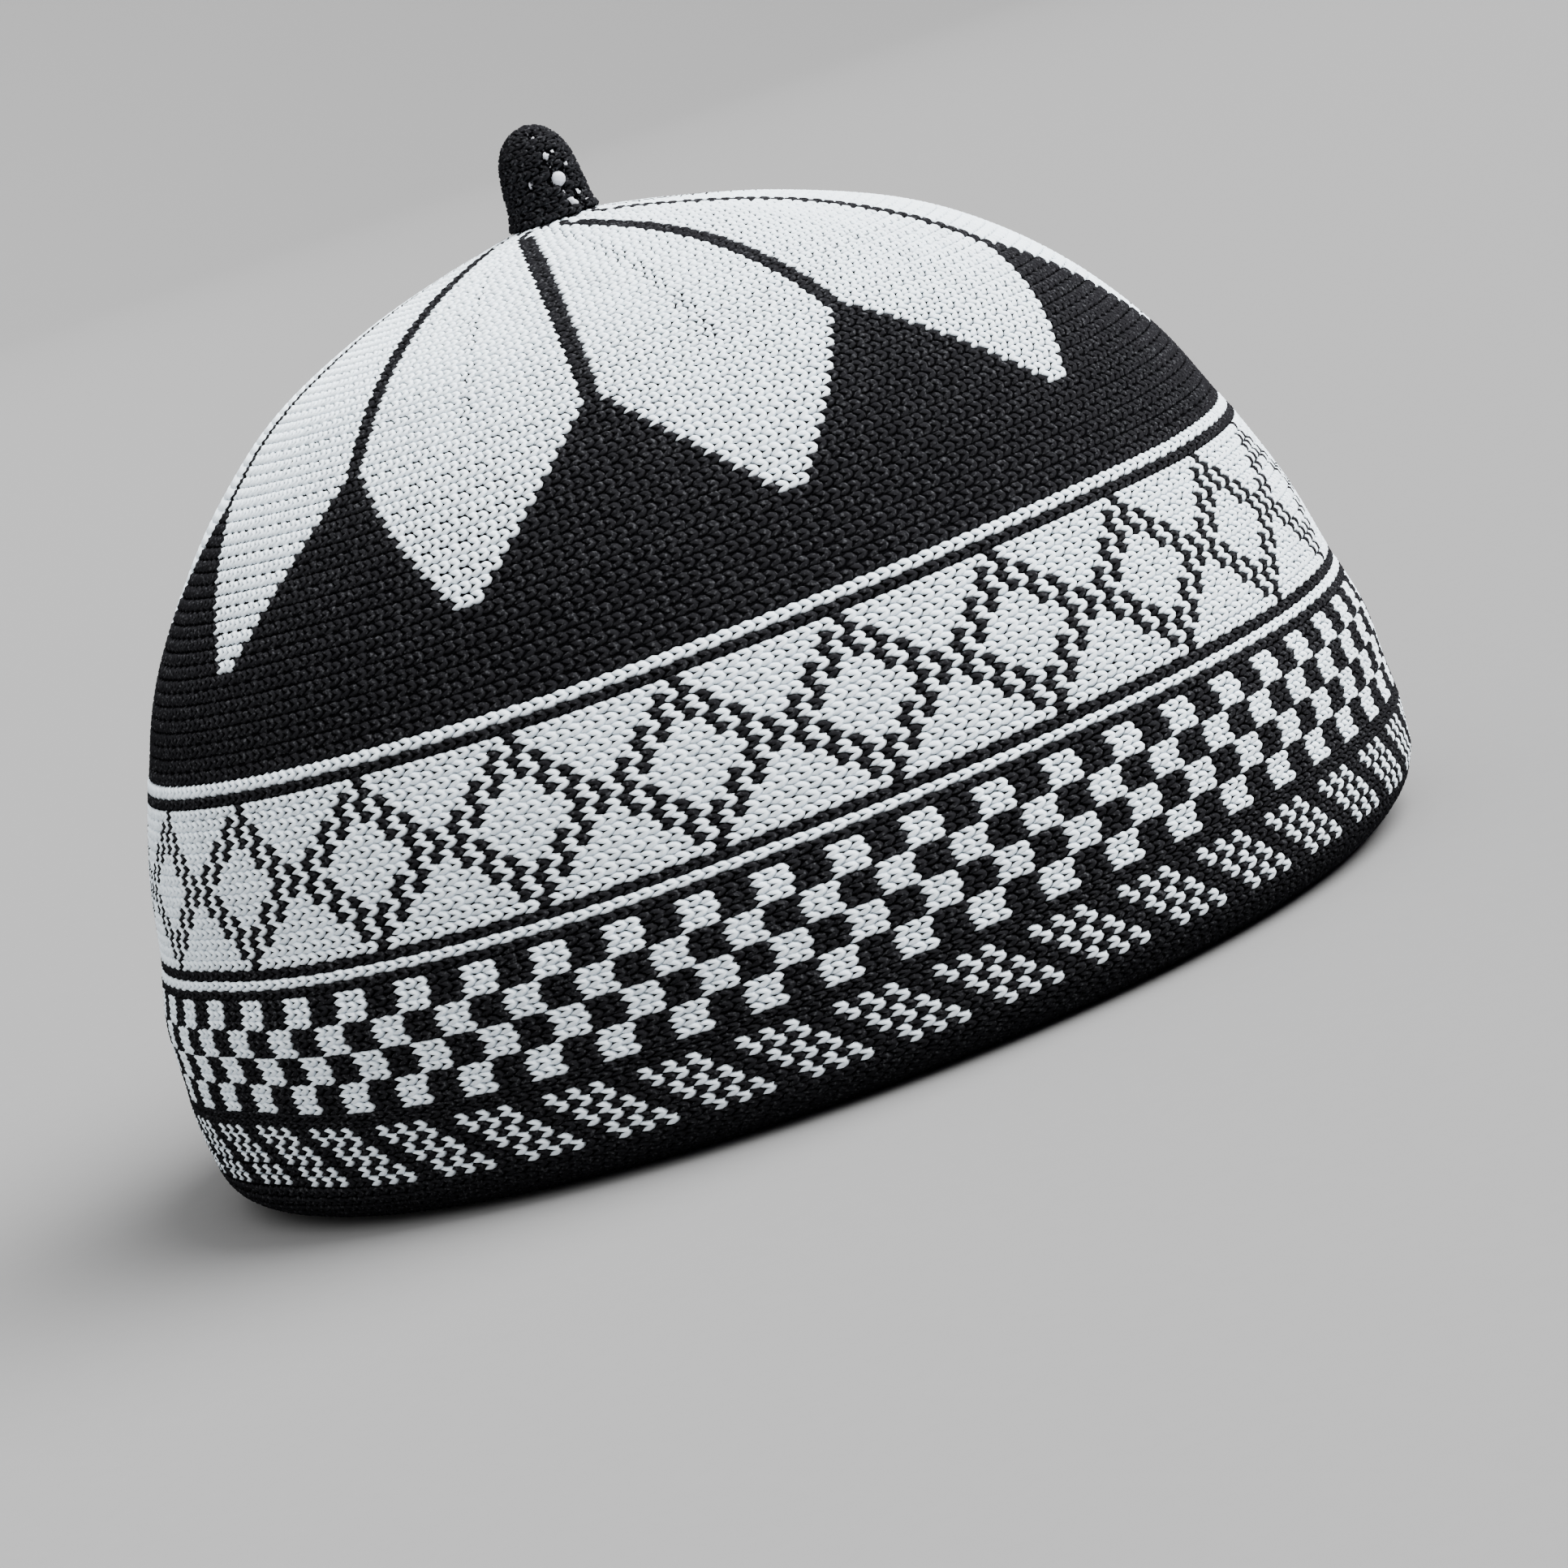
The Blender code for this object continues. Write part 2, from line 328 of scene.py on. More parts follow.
def lay_out(zone):
    """Bearing, distance, width, height and colour of every stitch of a zone."""
    rows, tall = zone["rows"], zone["tall"]
    parts = []
    for row in range(1, rows + 1):
        distance = zone["end"] - tall * (row - 0.5)
        count = stitches_round(zone, distance)
        column = np.arange(count)
        side = 1 if row % 2 == 0 else -1
        step = math.tau / count
        bearing = math.radians(zone["first_column"] + zone["drift"] * (row - 1)) + column * step
        bearing = bearing + side * zone["sway"] * step
        if zone["chart"] is petals and count // GORES % 2 == 0:
            bearing = bearing + 0.5 * step
        radius = ring_radius(distance)
        pull = SWIRL * math.exp(-(radius / SWIRL_REACH) ** 2)
        bearing = bearing - math.asin(min(pull / max(radius, 1e-6), STEEPEST))
        climb = np.interp(distance, *np.array(HILL).T) * np.sin(bearing - math.radians(FACING))
        climb = climb + from_table(PULLED_UP, PULL_BEARINGS, bearing, distance)
        sideways = from_table(PULLED_ALONG, PULL_BEARINGS, bearing, distance)
        bearing = bearing + sideways / max(radius, 1.0)
        hump = HUMP * tall * np.where((column + row) % 2 == 0, 1, -1)
        width = np.full(count, math.tau * radius / count)
        high = tall * np.where(column % 2 == 0, 1 + UNEVEN, 1 - UNEVEN)
        white = zone["chart"](row, rows, column, count)
        if zone["chart"] is petals:
            width = width * np.where(white, 1, SEAM_SPREAD)
            if stitches_round(zone, distance - tall) > count:
                width = width * np.where(column % (count // GORES) == 0, DECREASE, 1)
        parts.append(np.column_stack([bearing, distance + climb + hump, width, high, white]))
    return np.vstack(parts)


laid = {zone["name"]: lay_out(zone) for zone in zones}
for name, data in laid.items():
    print(f"{name}: {len(data)} stitches, {int(data[:, 4].sum())} white")
print("stitches in all:", sum(len(data) for data in laid.values()))

# %% [markdown]
# ## Yarns
#
# Cotton yarn is matt, with fine fibres that catch a little light. Shader maths reads better
# as sums than as boxes and wires, so a small class wraps a socket and turns + - * into
# Math nodes. Everything that varies over the yarn feeds its colour, roughness or bump.

# %% A small class for shader maths
class Value:
    """A socket of a shader tree that can be added, multiplied and so on."""

    def __init__(self, tree, socket):
        self.tree = tree
        self.socket = socket

    def _math(self, operation, *values):
        return self.tree.node("ShaderNodeMath", {"operation": operation}, dict(enumerate(values)))

    def __add__(self, other):
        return self._math("ADD", self, other)

    def __radd__(self, other):
        return self._math("ADD", other, self)

    def __sub__(self, other):
        return self._math("SUBTRACT", self, other)

    def __rsub__(self, other):
        return self._math("SUBTRACT", other, self)

    def __mul__(self, other):
        return self._math("MULTIPLY", self, other)

    def __rmul__(self, other):
        return self._math("MULTIPLY", other, self)

    def sine(self):
        return self._math("SINE", self)

    def angle_to(self, other):
        return self._math("ARCTAN2", self, other)

    def clamp(self):
        return self._math("MINIMUM", self._math("MAXIMUM", self, 0.0), 1.0)


class Tree:
    """A material's nodes, added one method at a time."""

    def __init__(self, name):
        self.material = bpy.data.materials.new(name)
        self.material.use_nodes = True
        self.nodes = self.material.node_tree.nodes
        self.links = self.material.node_tree.links
        self.shader = self.nodes["Principled BSDF"]

    def node(self, kind, settings=None, inputs=None, output=0):
        """Adds a node, sets it, fills its sockets and returns one of its outputs."""
        node = self.nodes.new(kind)
        for key, value in (settings or {}).items():
            setattr(node, key, value)
        for key, value in (inputs or {}).items():
            self.fill(node.inputs[key], value)
        return Value(self, node.outputs[output])

    def fill(self, socket, value):
        """Links a socket to a value that varies, or sets it to one that doesn't."""
        if isinstance(value, Value):
            self.links.new(value.socket, socket)
        else:
            socket.default_value = value

    def place(self):
        """The place of a point on the object, in metres."""
        return self.node("ShaderNodeTexCoord", output="Object")

    def attribute(self, name):
        """A number that the mesh keeps at its points."""
        return self.node("ShaderNodeAttribute", {"attribute_name": name}, output="Fac")

    def mix(self, factor, first, second):
        """A blend of two colours. The node keeps its colour sockets after its other ones."""
        return self.node("ShaderNodeMix", {"data_type": "RGBA"},
                         {0: factor, 6: first, 7: second}, output=2)

    def noise(self, place, scale, detail=2.0, roughness=0.5):
        """Noise from 0 to 1 at a place. The scale counts its cells to the metre."""
        return self.node("ShaderNodeTexNoise", {}, {
            "Vector": place, "Scale": scale, "Detail": detail, "Roughness": roughness})


print("shader tools are ready")

# %% [markdown]
# ## The two yarns
#
# Both yarns share one recipe. The top of each stitch takes the yarn's own colour, and a painted
# shade darkens it towards the stitch's foot. Fine fibres and a few pale flecks break the surface
# up. Each stitch also gets a tone of its own, because spun yarn is never one even colour.

# %% The two yarns
FIBRE_SCALE, CLOUD_SCALE, FLECK_SCALE = 2600.0, 45.0, 2000.0
TONE_SPREAD, CLOUD_SPREAD = 0.3, 0.2
FLECK_FROM, FLECK_EDGE = 0.56, 5.0
FIBRE_BUMP, FIBRE_HEIGHT = 0.35, 0.00012
FIBRE_ROUGHNESS = 0.2


def yarn(name, light, shade, fleck, sheen, roughness, specks, shade_depth):
    """Cotton yarn: each stitch a little lighter or darker, painted shade at its foot, with flecks.
    """
    tree = Tree(name)
    place, tone, ridge = tree.place(), tree.attribute("tone"), tree.attribute("ridge")
    fibres = tree.noise(place, FIBRE_SCALE, detail=3.0, roughness=0.65)
    cloud = tree.noise(place, CLOUD_SCALE)
    low = 1 - ridge
    # Painted shade: the lower a point lies on its stitch, the nearer its colour comes to the shade
    # colour.
    lit = (1.0 - low * low * low * shade_depth + (fibres - 0.5) * specks
           + (tone - 0.5) * TONE_SPREAD + (cloud - 0.5) * CLOUD_SPREAD).clamp()
    flecks = ((tree.noise(place, FLECK_SCALE, detail=1.0) - FLECK_FROM) * FLECK_EDGE).clamp()
    tree.fill(tree.shader.inputs["Base Color"],
              tree.mix(flecks, tree.mix(lit, shade, light), fleck))
    tree.fill(tree.shader.inputs["Roughness"],
              (fibres * FIBRE_ROUGHNESS + (roughness - FIBRE_ROUGHNESS / 2)).clamp())
    tree.fill(tree.shader.inputs["Normal"], tree.node("ShaderNodeBump", {}, {
        "Strength": FIBRE_BUMP, "Distance": FIBRE_HEIGHT, "Height": fibres}))
    tree.shader.inputs["Sheen Weight"].default_value = sheen
    tree.shader.inputs["Sheen Roughness"].default_value = 0.5
    tree.shader.inputs["Specular IOR Level"].default_value = 0.0
    return tree.material


# Each yarn sets how deep its painted shade goes; on the black yarn it is deep, painting dark gaps
# between the rows.
WHITE = yarn("white_cotton_yarn", light=(0.81, 0.90, 0.97, 1), shade=(0.24, 0.28, 0.32, 1),
             fleck=(0.86, 0.93, 0.98, 1), sheen=0.10, roughness=0.9, specks=0.2, shade_depth=0.8)
BLACK = yarn("black_cotton_yarn", light=(0.0108, 0.0108, 0.0122, 1),
             shade=(0.0008, 0.0008, 0.001, 1), fleck=(0.045, 0.046, 0.05, 1),
             sheen=0.0, roughness=0.85, specks=1.1, shade_depth=2.2)
print("yarns:", WHITE.name, BLACK.name)

# %% [markdown]
# ## One stitch
#
# A stitch of this fabric is a loop that lies on its side: two legs on the left, one above the
# other, and a round nose on the right that lies over the feet of the next stitch. The yarn is
# plump, so the stitches touch and hide what is behind them, but for a small dark slit between
# the two legs. Ten corners give the stitch its outline, five more its ridge, and one the dip
# between the legs. That is twenty-eight triangles, few enough to repeat by the thousand.

# %% Build the stitch
OUTER = (  # along the row and up it, as shares of one stitch
    (-0.74, 0.40), (0.02, 0.61), (0.54, 0.42), (0.74, 0.0), (0.54, -0.42), (0.02, -0.61),
    (-0.74, -0.40), (-0.36, -0.11), (0.06, 0.0), (-0.36, 0.11))
RIDGE = (  # the same, and the height of the yarn
    (-0.46, 0.33, 0.76), (0.06, 0.31, 1.0), (0.46, 0.0, 0.86), (0.06, -0.31, 1.0),
    (-0.46, -0.33, 0.76), (0.26, 0.0, 0.76))


def stitch_object(name):
    """A closed body of yarn, one stitch wide and one row high, that lies on its side."""
    vertices = [(x, y, 0.0) for x, y in OUTER] + list(RIDGE)
    leg_top, top, nose, low, leg_low, dip = range(10, 16)
    upper = [(0, leg_top, 1), (1, leg_top, top), (1, top, 2), (2, top, nose), (2, nose, 3),
             (3, nose, 4), (4, nose, low), (4, low, 5), (5, low, leg_low), (5, leg_low, 6),
             (6, leg_low, 7), (7, leg_low, dip), (7, dip, 8), (8, dip, 9), (9, dip, leg_top),
             (9, leg_top, 0), (leg_top, dip, top), (top, dip, nose), (nose, dip, low),
             (low, dip, leg_low)]
    lower = [(9, 0, 1), (9, 1, 2), (9, 2, 8), (8, 2, 3), (8, 3, 4), (8, 4, 7), (7, 4, 5),
             (7, 5, 6)]
    mesh = bpy.data.meshes.new(name)
    mesh.from_pydata(vertices, [], upper + lower)
    # Each corner's height is kept as the ridge attribute, which the yarns read to paint shade
    # towards the foot of each stitch.
    high = np.array([vertex[2] for vertex in vertices])
    mesh.attributes.new("ridge", "FLOAT", "POINT").data.foreach_set("value", high)
    mesh.shade_smooth()
    mesh.update()
    return bpy.data.objects.new(name, mesh)


loop = stitch_object("stitch_of_yarn")
work = bmesh.new()
work.from_mesh(loop.data)
print("triangles in a stitch:", len(work.faces), "closed:", all(e.is_manifold for e in work.edges),
      "all faces turned alike:", all(e.is_contiguous for e in work.edges),
      "volume:", round(work.calc_volume(signed=True), 3))
work.free()

# %% [markdown]
# ## The tree that sets the stitches
#
# Geometry Nodes put one loop on every place. Each place is a vertex that carries its
# directions and size as attributes, so the tree only has to turn the loop to them, add a
# little unevenness from a fixed seed, and give the result its yarn. It also stores a random
# tone for each stitch, which the yarn reads. Realize Instances turns the copies into real
# faces, and the result is kept as a plain mesh.

# %% Build the tree
def stitch_tree():
    """A tree that sets a loop on every vertex."""
    tree = bpy.data.node_groups.new("set_stitches", "GeometryNodeTree")
    for name, kind in (("Places", "Geometry"), ("Loop", "Object"), ("Yarn", "Material"),
                       ("Turn spread", "Float"), ("Size spread", "Float"), ("Seed", "Int")):
        tree.interface.new_socket(name, in_out="INPUT", socket_type=f"NodeSocket{kind}")
    tree.interface.new_socket("Stitches", in_out="OUTPUT", socket_type="NodeSocketGeometry")

    def add(kind, inputs=None, **settings):
        """Adds a node, sets it, and fills its sockets with links or plain values."""
        node = tree.nodes.new(kind)
        for key, value in settings.items():
            setattr(node, key, value)
        for key, value in (inputs or {}).items():
            if isinstance(value, bpy.types.NodeSocket):
                tree.links.new(value, node.inputs[key])
            else:
                node.inputs[key].default_value = value
        return node

    def attribute(name):
        """A direction or size that the places carry."""
        return add("GeometryNodeInputNamedAttribute", {"Name": name},
                   data_type="FLOAT_VECTOR").outputs["Attribute"]

    def number(operation, first, second):
        """A number worked out from two others."""
        return add("ShaderNodeMath", {0: first, 1: second}, operation=operation).outputs[0]

    def at_random(low=0.0, high=1.0):
        """A random number for each stitch, the same on every run."""
        return add("FunctionNodeRandomValue", {2: low, 3: high, "Seed": given["Seed"]},
                   data_type="FLOAT").outputs[1]

    given = add("NodeGroupInput").outputs
    axes = add("FunctionNodeAxesToRotation", {0: attribute("outward"), 1: attribute("along")},
               primary_axis="Z", secondary_axis="X")
    spin = at_random(number("MULTIPLY", given["Turn spread"], -1.0), given["Turn spread"])
    spin = add("ShaderNodeCombineXYZ", {"Z": spin})
    turn = add("FunctionNodeRotateRotation", {0: axes.outputs[0], 1: spin.outputs[0]},
               rotation_space="LOCAL")
    swell = at_random(number("SUBTRACT", 1.0, given["Size spread"]),
                      number("ADD", 1.0, given["Size spread"]))
    size = add("ShaderNodeVectorMath", {0: attribute("size"), "Scale": swell}, operation="SCALE")
    shape = add("GeometryNodeObjectInfo", {"Object": given["Loop"], "As Instance": True},
                transform_space="ORIGINAL")
    copies = add("GeometryNodeInstanceOnPoints", {
        "Points": given["Places"], "Instance": shape.outputs["Geometry"],
        "Rotation": turn.outputs[0], "Scale": size.outputs[0]})
    toned = add("GeometryNodeStoreNamedAttribute", {
        "Geometry": copies.outputs[0], "Name": "tone", "Value": at_random()},
        data_type="FLOAT", domain="INSTANCE")
    last = add("GeometryNodeRealizeInstances", {0: toned.outputs[0]})
    for name in ("outward", "along", "size"):
        last = add("GeometryNodeRemoveAttribute", {0: last.outputs[0], "Name": name})
    last = add("GeometryNodeSetMaterial", {0: last.outputs[0], "Material": given["Yarn"]})
    add("NodeGroupOutput", {0: last.outputs[0]})
    return tree


TREE = stitch_tree()
SOCKET = {item.name: item.identifier for item in TREE.interface.items_tree
          if item.in_out == "INPUT"}
print("tree nodes:", len(TREE.nodes))

# %% [markdown]
# ## From a tree to plain faces
#
# The tree works on a carrier: a mesh that has only vertices, one for each stitch. The carrier
# is evaluated once, the outcome is kept as an ordinary mesh, and the carrier is thrown away.
# The sockets are set by their identifiers before that first evaluation.

# %% Turn places into a plain mesh of stitches
def in_scene(name, data):
    """A new object in the scene that holds a mesh, light or camera."""
    thing = bpy.data.objects.new(name, data)
    bpy.context.scene.collection.objects.link(thing)
    return thing


def set_stitches(name, places, along, outward, size, material, seed, turn=0.03, swell=0.015):
    """One object that holds a loop at every place. Everything is in metres."""
    mesh = bpy.data.meshes.new(name + "_places")
    mesh.vertices.add(len(places))
    mesh.vertices.foreach_set("co", np.asarray(places, np.float32).ravel())
    for key, data in (("along", along), ("outward", outward), ("size", size)):
        mesh.attributes.new(key, "FLOAT_VECTOR", "POINT").data.foreach_set(
            "vector", np.asarray(data, np.float32).ravel())
    carrier = in_scene(name + "_places", mesh)
    modifier = carrier.modifiers.new("stitches", "NODES")
    modifier.node_group = TREE
    for key, value in (("Loop", loop), ("Yarn", material), ("Turn spread", turn),
                       ("Size spread", swell), ("Seed", seed)):
        modifier[SOCKET[key]] = value
    graph = bpy.context.evaluated_depsgraph_get()
    result = bpy.data.meshes.new_from_object(carrier.evaluated_get(graph))
    result.name = name
    bpy.data.objects.remove(carrier, do_unlink=True)
    return in_scene(name, result)


def triangles(thing):
    """How many triangles an object's mesh has."""
    return sum(len(p.vertices) - 2 for p in thing.data.polygons)


def mesh_piece(name, vertices, faces, material, measure=MM):
    """A smooth mesh object from points in millimetres, or in another measure."""
    mesh = bpy.data.meshes.new(name)
    mesh.from_pydata((np.asarray(vertices) * measure).tolist(), [], faces)
    mesh.materials.append(material)
    mesh.validate()
    mesh.shade_smooth()
    return in_scene(name, mesh)


print("ready to set stitches")

# %% [markdown]
# ## All the stitches of the cap
#
# Each zone becomes one object for its white yarn and one for its black, so that every piece
# stays light enough to hand on. The loops sink a little into the fabric behind them.

# %% Set the stitches zone by zone
RELIEF = 0.50  # how thick a stitch is, in millimetres
SINK, CROWN_SINK = -0.38, -0.44
GROUPS = (
    ("hem_stitches", ("hem", "dark_rows")),
    ("stroke_stitches", ("strokes",)),
    ("check_stitches", ("checks", "lower_dark_line", "lower_light_line", "band_foot")),
    ("diamond_stitches", ("diamonds", "band_top", "upper_light_line")),
    ("crown_row_stitches", ("crown_rows",)),
    ("petal_point_stitches", ("petal_points",)),
    ("petal_stitches", ("petals",)),
)
for number, (group, names) in enumerate(GROUPS):
    data = np.vstack([laid[name] for name in names])
    for colour, wanted, material in (("white", 1, WHITE), ("black", 0, BLACK)):
        part = data[data[:, 4] == wanted]
        if not len(part):
            continue
        bearing, distance, width, tall = part[:, :4].T
        along, outward = directions(on_cap, bearing, distance)
        size = np.column_stack([width, tall, np.full(len(part), RELIEF)])
        sink = CROWN_SINK if "petal" in group or "crown" in group else SINK
        piece = set_stitches(f"{group}_{colour}", on_cap(bearing, distance, sink) * MM, along,
                             outward, size * MM, material, number * 2 + wanted)
        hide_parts("cap_wall")
        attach(piece, "root")
        print(f"{piece.name}: {len(part)} stitches, {triangles(piece)} triangles")

# %% [markdown]
# ## The fabric behind the stitches
#
# Behind the loops runs more yarn, and inside the cap one sees the back of the fabric. A closed
# shell stands for both: its outer side lies just under the stitches, and its inner side a wall's
# thickness further in. The outer side is dark all over: black yarn behind black stitches, and
# painted shade in the gaps between white ones. Each point of the inner side looks up its own
# stitch in the charts, so the pattern shows on the inside too, a little blurred.

# %% The back of the fabric: which yarn, at any place
AROUND = 308  # as many points round the cap as the diamonds have stitches


def white_behind(bearing, distance):
    """1 where the stitch in front of a place is white, and 0 where it is black."""
    zone = next((z for z in zones if z["start"] <= distance < z["end"]), zones[-1])
    rows, tall = zone["rows"], zone["tall"]
    row = min(max(int((zone["end"] - distance) / tall) + 1, 1), rows)
    count = stitches_round(zone, zone["end"] - tall * (row - 0.5))
    first = math.radians(zone["first_column"] + zone["drift"] * (row - 1))
    column = np.round((bearing - first) / (math.tau / count)).astype(int) % count
    return zone["chart"](row, rows, column, count).astype(float)


print("white share of the diamonds' middle row:", round(float(white_behind(
    np.linspace(0, math.tau, AROUND), 55.0).mean()), 2))

# %% [markdown]
# ## The finish of the back
#
# Seen from behind, colourwork is a little blurred: the yarn that isn't in use runs across the
# back of the stitches. Soft noise shifts the border between black and white, and small bumps
# stand in for the single strands, with painted shade darkening the white in the dips between them.

# %% The finish of the back
BLUR, BORDER, BORDER_EDGE = 0.5, 0.35, 3.0
BUMP_STRENGTH, BUMP_HEIGHT = 0.8, 0.0005


def backing_cloth_and_shade():
    """Black and white yarn seen from behind: small bumps in rows with painted shade in their dips,
    and fine fibres.
    """
    tree = Tree("backing_yarn_and_shade")
    place, white, row = tree.place(), tree.attribute("white"), tree.attribute("row")
    x, y = (tree.node("ShaderNodeSeparateXYZ", {}, {0: place}, axis) for axis in "XY")
    fibres = tree.noise(place, scale=1500.0, detail=3.0, roughness=0.6)
    cloud = tree.noise(place, scale=420.0, detail=1.0)
    ribs = (row * math.tau).sine()
    columns = (x.angle_to(y) * (AROUND / 2) + row * math.pi).sine()
    bumps = ribs * 0.25 + columns * 0.25 + 0.5
    blurred = ((white + (cloud - 0.5) * BLUR - BORDER) * BORDER_EDGE).clamp()
    # Painted shade: the white is darker in the dips between the bumps.
    light_share = (bumps * 0.7 + fibres * 0.5).clamp()
    # The dark colour is the black yarn on the inside, and painted shade on the outer side.
    dark = tree.mix(fibres, (0.0008, 0.0008, 0.001, 1), (0.003, 0.003, 0.0035, 1))
    light = tree.mix(light_share, (0.38, 0.40, 0.43, 1), (0.76, 0.80, 0.84, 1))
    tree.fill(tree.shader.inputs["Base Color"], tree.mix(blurred, dark, light))
    tree.fill(tree.shader.inputs["Roughness"], fibres * 0.1 + 0.85)
    tree.fill(tree.shader.inputs["Normal"], tree.node("ShaderNodeBump", {}, {
        "Strength": BUMP_STRENGTH, "Distance": BUMP_HEIGHT,
        "Height": bumps * 0.8 + fibres * 0.2}))
    tree.shader.inputs["Specular IOR Level"].default_value = 0.0
    return tree.material


CLOTH_AND_SHADE = backing_cloth_and_shade()
print("finish of the back:", CLOTH_AND_SHADE.name)

# %% [markdown]
# ## The shell itself
#
# Rings of points, from the middle of the crown down the inside, round the hem and up the
# outside again, make one closed body. Each point of the inside keeps the yarn of its stitch
# as an attribute, which the finish above reads.

# %% The backing shell
BACK, WALL = -0.31, 2.0  # millimetres
OUTER_RINGS = 48
RIM_WIDTH, RIM_HEIGHT, HEM_LIFT = 1.9, 0.3, 0.05
INSIDE_FROM, INSIDE_SHORT_OF_TOP = 3.0, 1.5


def backing():
    """A closed shell from just under the stitches to the inner side of the wall."""
    diamond = next(zone for zone in zones if zone["name"] == "diamonds")
    bearing = math.radians(diamond["first_column"]) + np.arange(AROUND) * math.tau / AROUND
    top = (np.array([0.0]), along_side[-1:])
    outer = [on_cap(bearing, np.full(AROUND, distance), BACK)
             for distance in np.linspace(0, along_side[-1], OUTER_RINGS)[:-1]]
    outer[0][:, 2] = np.maximum(outer[0][:, 2], HEM_LIFT)
    inner_at = [zone["end"] - zone["tall"] * (row + 0.5)
                for zone in reversed(zones) for row in range(zone["rows"])]
    inner_at = [distance for distance in inner_at
                if INSIDE_FROM < distance < along_side[-1] - INSIDE_SHORT_OF_TOP]
    inner = [on_cap(bearing, np.full(AROUND, distance), -WALL) for distance in inner_at]
    rim = on_cap(bearing, np.zeros(AROUND), BACK)
    reach = np.hypot(rim[:, 0], rim[:, 1])
    rim[:, :2] *= ((reach - RIM_WIDTH) / reach)[:, None]
    rim[:, 2] = RIM_HEIGHT
    rings = [on_cap(*top, -WALL)] + inner + [rim] + outer + [on_cap(*top, BACK)]
    starts = np.concatenate([[0], np.cumsum([len(ring) for ring in rings])]).tolist()
    faces = []
    for a, b, first, second in zip(starts, starts[1:], rings, rings[1:]):
        for k in range(AROUND):
            n = (k + 1) % AROUND
            if len(first) == 1:
                faces.append((a, b + n, b + k))
            elif len(second) == 1:
                faces.append((a + k, a + n, b))
            else:
                faces.append((a + k, a + n, b + n, b + k))
    shell = mesh_piece("backing", np.vstack(rings), faces, CLOTH_AND_SHADE)
    # Only the inner side looks up its yarn; the outer side, the rim and the top points keep 0, so
    # they take the dark colour, a painted shade in the gaps between white stitches.
    kept = {"white": np.zeros(starts[-1]), "row": np.zeros(starts[-1])}
    for level, distance in enumerate(inner_at):
        ring = slice(1 + level * AROUND, 1 + (level + 1) * AROUND)
        kept["white"][ring] = white_behind(bearing, distance)
        kept["row"][ring] = level
    for name, values in kept.items():
        shell.data.attributes.new(name, "FLOAT", "POINT").data.foreach_set("value", values)
    return shell


shell = backing()
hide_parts("cap_wall")
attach(shell, "root")
print("backing:", triangles(shell), "triangles")

# %% [markdown]
# ## The stem
#
# The small stem on the crown is a black knitted cover drawn over a white filling. It is round,
# a little wider at its foot, and closed by a dome. Like the cap, it is a side view turned
# round its middle, so a place on it also has a bearing and a distance.

# %% The stem's side view
STEM = (  # height and radius in millimetres
    (0.0, 7.1), (2.0, 6.5), (6.0, 6.1), (9.6, 5.4), (12.0, 4.1), (13.6, 2.2), (14.2, 0.0))
STEM_FOOT = 122.33

stem_view = smooth_curve(STEM, parts=16)
along_stem = distances(stem_view)


def on_stem(bearing, distance, out=0.0):
    """Points on the stem's cover, in millimetres."""
    height, radius = beside(stem_view, along_stem, distance, out)
    radius = np.maximum(radius, 0.0)
    return np.stack([radius * np.sin(bearing) + CROWN_LEAN[0],
                     -radius * np.cos(bearing) + CROWN_LEAN[1], STEM_FOOT + height], axis=-1)


print(f"from the foot of the stem to its tip: {along_stem[-1]:.1f} mm")

# %% [markdown]
# ## The gaps in the stem's cover
#
# Some loops of the cover are loose, and the filling shows through them as white spots. Each
# spot is written down with its bearing, height, size and tilt. One function then tells how
# near a place is to a gap, and the wall, the loops and the filling all ask it.

# %% The gaps
GAP_COLUMNS = ("bearing", "height", "wide", "tall", "tilt")
GAPS = (  # degrees and millimetres
    (91, 5.3, 2.7, 2.5, -35), (99, 1.6, 2.4, 1.2, -35), (85, 9.1, 1.15, 1.4, 0),
    (45.5, 5.7, 1.0, 1.1, 0), (115, 2.7, 1.5, 1.1, -30), (114, 7.0, 1.0, 1.15, 0),
    (99, 9.4, 0.7, 0.95, 0), (85, 7.3, 0.6, 0.55, 0), (78, 12.4, 0.6, 0.5, 0),
    (54, 2.5, 0.5, 0.7, 0), (89, 3.2, 0.5, 0.9, 0), (124, 1.3, 1.0, 0.6, 0),
    (250, 5.4, 1.8, 1.8, 20), (300, 8.0, 1.2, 1.3, 0), (205, 8.6, 1.0, 1.1, 0),
    (330, 3.4, 1.3, 0.9, 25))


def gap_reach(bearing, distance):
    """How far places lie from the nearest gap, as a share of its size: under 1 is inside it."""
    height, radius = (np.interp(distance, along_stem, stem_view[:, k]) for k in (0, 1))
    nearest = np.full(np.shape(bearing), np.inf)
    for gap in (dict(zip(GAP_COLUMNS, row)) for row in GAPS):
        across = (bearing - math.radians(gap["bearing"]) + math.pi) % (math.tau) - math.pi
        x, y = across * radius, height - gap["height"]
        c, s = math.cos(math.radians(gap["tilt"])), math.sin(math.radians(gap["tilt"]))
        share = np.hypot((x * c + y * s) / (gap["wide"] / 2), (y * c - x * s) / (gap["tall"] / 2))
        nearest = np.minimum(nearest, share)
    return nearest


print("gaps in the cover:", len(GAPS))

# %% [markdown]
# ## The wall of the cover
#
# A grid of small faces is turned round the axis, the faces that fall in a gap are left out,
# and a Solidify modifier gives the rest its thickness. The modifier is used once and its
# outcome kept as a plain closed mesh.

